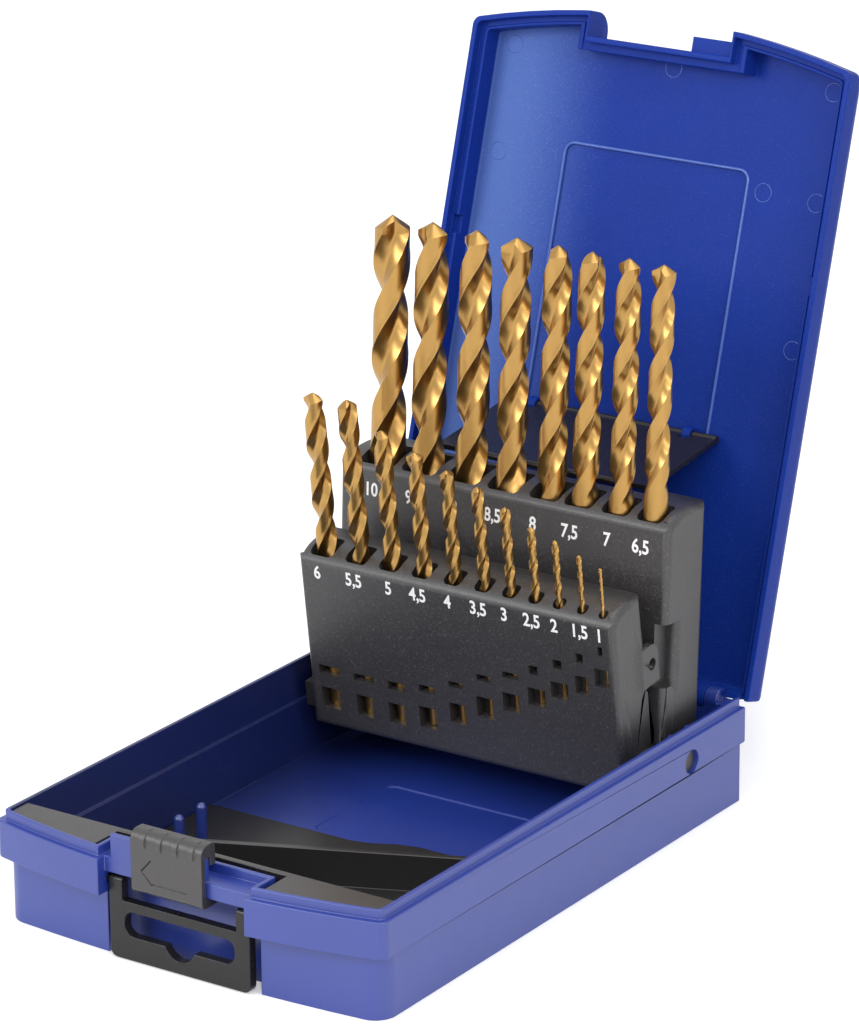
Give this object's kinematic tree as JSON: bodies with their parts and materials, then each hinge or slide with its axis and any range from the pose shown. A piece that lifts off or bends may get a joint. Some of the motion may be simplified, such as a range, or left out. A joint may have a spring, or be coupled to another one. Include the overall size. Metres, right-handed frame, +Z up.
{
  "type": "drill bit case",
  "caption": "Folding twist drill case: shallow tray and hinged lid, two drill blocks that stand up as the lid opens, a sliding front latch and a fold-out hanger.",
  "frame": {"origin": "centre of the tray's underside, which the case rests on", "axes": "+Z up, +Y towards the lid's hinge and -Y towards the latch, +X to the right seen from the latch side; drawn open as in the picture"},
  "size_m": [0.12, 0.2378, 0.1972],
  "materials": {
    "blue_tray": "moulded polypropylene, fine texture outside, semi-gloss inside",
    "blue_lid": "moulded polypropylene, fine sparkle texture",
    "dark_block": "coarse spark-eroded grain on the faces",
    "dark_insert": "satin",
    "dark_latch": "satin",
    "dark_plate": "semi-gloss",
    "gold_drill": "gold oxide-coloured high speed steel"
  },
  "bodies": {
    "tray": {"tray": "blue_tray", "front_insert": "dark_insert"},
    "lid": {"lid": "blue_lid"},
    "rear_block": {"rear_block": "dark_block"},
    "front_block": {"front_block": "dark_block"},
    "lift_plate": {"lift_plate": "dark_plate"},
    "latch_slider": {"latch_slider": "dark_latch"},
    "hanger": {"hanger": "dark_latch"},
    "bit_10_0": {"bit_10_0": "gold_drill"},
    "bit_9_5": {"bit_9_5": "gold_drill"},
    "bit_9_0": {"bit_9_0": "gold_drill"},
    "bit_8_5": {"bit_8_5": "gold_drill"},
    "bit_8_0": {"bit_8_0": "gold_drill"},
    "bit_7_5": {"bit_7_5": "gold_drill"},
    "bit_7_0": {"bit_7_0": "gold_drill"},
    "bit_6_5": {"bit_6_5": "gold_drill"},
    "bit_6_0": {"bit_6_0": "gold_drill"},
    "bit_5_5": {"bit_5_5": "gold_drill"},
    "bit_5_0": {"bit_5_0": "gold_drill"},
    "bit_4_5": {"bit_4_5": "gold_drill"},
    "bit_4_0": {"bit_4_0": "gold_drill"},
    "bit_3_5": {"bit_3_5": "gold_drill"},
    "bit_3_0": {"bit_3_0": "gold_drill"},
    "bit_2_5": {"bit_2_5": "gold_drill"},
    "bit_2_0": {"bit_2_0": "gold_drill"},
    "bit_1_5": {"bit_1_5": "gold_drill"},
    "bit_1_0": {"bit_1_0": "gold_drill"}
  },
  "joints": [
    {"name": "lid_hinge", "type": "hinge", "parent": "tray", "child": "lid", "pos_m": [0, 0.086, 0.0274], "axis": [-1, 0, 0], "range_deg": [-106.8, 0]},
    {"name": "rear_block_swing", "type": "hinge", "parent": "tray", "child": "rear_block", "pos_m": [0, 0.0577, 0.0209], "axis": [-1, 0, 0], "range_deg": [-93, 0]},
    {"name": "front_block_swing", "type": "hinge", "parent": "tray", "child": "front_block", "pos_m": [0, 0.0577, 0.0209], "axis": [-1, 0, 0], "range_deg": [-82.8, 0]},
    {"name": "lift_plate_fold", "type": "hinge", "parent": "lid", "child": "lift_plate", "pos_m": [0, 0.11211, 0.09034], "axis": [-1, 0, 0], "range_deg": [0, 113.4]},
    {"name": "latch_slide", "type": "slide", "parent": "tray", "child": "latch_slider", "axis": [-1, 0, 0], "range_m": [-0.008, 0.0046]},
    {"name": "hanger_swing", "type": "hinge", "parent": "tray", "child": "hanger", "pos_m": [0, -0.0868, 0.0209], "axis": [-1, 0, 0], "range_deg": [0, 90]},
    {"name": "bit_10_0_lift", "type": "slide", "parent": "rear_block", "child": "bit_10_0", "axis": [0, 0.0523, 0.9986], "range_m": [0, 0.0715]},
    {"name": "bit_9_5_lift", "type": "slide", "parent": "rear_block", "child": "bit_9_5", "axis": [0, 0.0523, 0.9986], "range_m": [0, 0.0635]},
    {"name": "bit_9_0_lift", "type": "slide", "parent": "rear_block", "child": "bit_9_0", "axis": [0, 0.0523, 0.9986], "range_m": [0, 0.0635]},
    {"name": "bit_8_5_lift", "type": "slide", "parent": "rear_block", "child": "bit_8_5", "axis": [0, 0.0523, 0.9986], "range_m": [0, 0.0555]},
    {"name": "bit_8_0_lift", "type": "slide", "parent": "rear_block", "child": "bit_8_0", "axis": [0, 0.0523, 0.9986], "range_m": [0, 0.0555]},
    {"name": "bit_7_5_lift", "type": "slide", "parent": "rear_block", "child": "bit_7_5", "axis": [0, 0.0523, 0.9986], "range_m": [0, 0.0475]},
    {"name": "bit_7_0_lift", "type": "slide", "parent": "rear_block", "child": "bit_7_0", "axis": [0, 0.0523, 0.9986], "range_m": [0, 0.0475]},
    {"name": "bit_6_5_lift", "type": "slide", "parent": "rear_block", "child": "bit_6_5", "axis": [0, 0.0523, 0.9986], "range_m": [0, 0.0395]},
    {"name": "bit_6_0_lift", "type": "slide", "parent": "front_block", "child": "bit_6_0", "axis": [0, -0.1253, 0.9921], "range_m": [0, 0.0524]},
    {"name": "bit_5_5_lift", "type": "slide", "parent": "front_block", "child": "bit_5_5", "axis": [0, -0.1253, 0.9921], "range_m": [0, 0.0523]},
    {"name": "bit_5_0_lift", "type": "slide", "parent": "front_block", "child": "bit_5_0", "axis": [0, -0.1253, 0.9921], "range_m": [0, 0.0522]},
    {"name": "bit_4_5_lift", "type": "slide", "parent": "front_block", "child": "bit_4_5", "axis": [0, -0.1253, 0.9921], "range_m": [0, 0.0505]},
    {"name": "bit_4_0_lift", "type": "slide", "parent": "front_block", "child": "bit_4_0", "axis": [0, -0.1253, 0.9921], "range_m": [0, 0.0487]},
    {"name": "bit_3_5_lift", "type": "slide", "parent": "front_block", "child": "bit_3_5", "axis": [0, -0.1253, 0.9921], "range_m": [0, 0.0465]},
    {"name": "bit_3_0_lift", "type": "slide", "parent": "front_block", "child": "bit_3_0", "axis": [0, -0.1253, 0.9921], "range_m": [0, 0.0416]},
    {"name": "bit_2_5_lift", "type": "slide", "parent": "front_block", "child": "bit_2_5", "axis": [0, -0.1253, 0.9921], "range_m": [0, 0.0417]},
    {"name": "bit_2_0_lift", "type": "slide", "parent": "front_block", "child": "bit_2_0", "axis": [0, -0.1253, 0.9921], "range_m": [0, 0.0359]},
    {"name": "bit_1_5_lift", "type": "slide", "parent": "front_block", "child": "bit_1_5", "axis": [0, -0.1253, 0.9921], "range_m": [0, 0.0296]},
    {"name": "bit_1_0_lift", "type": "slide", "parent": "front_block", "child": "bit_1_0", "axis": [0, -0.1253, 0.9921], "range_m": [0, 0.0259]}
  ],
  "couplings": [
    {"joint": "rear_block_swing", "follows": "lid_hinge", "ratio": 0.87079},
    {"joint": "front_block_swing", "follows": "lid_hinge", "ratio": 0.77528},
    {"joint": "lift_plate_fold", "follows": "lid_hinge", "ratio": -1.0618}
  ]
}
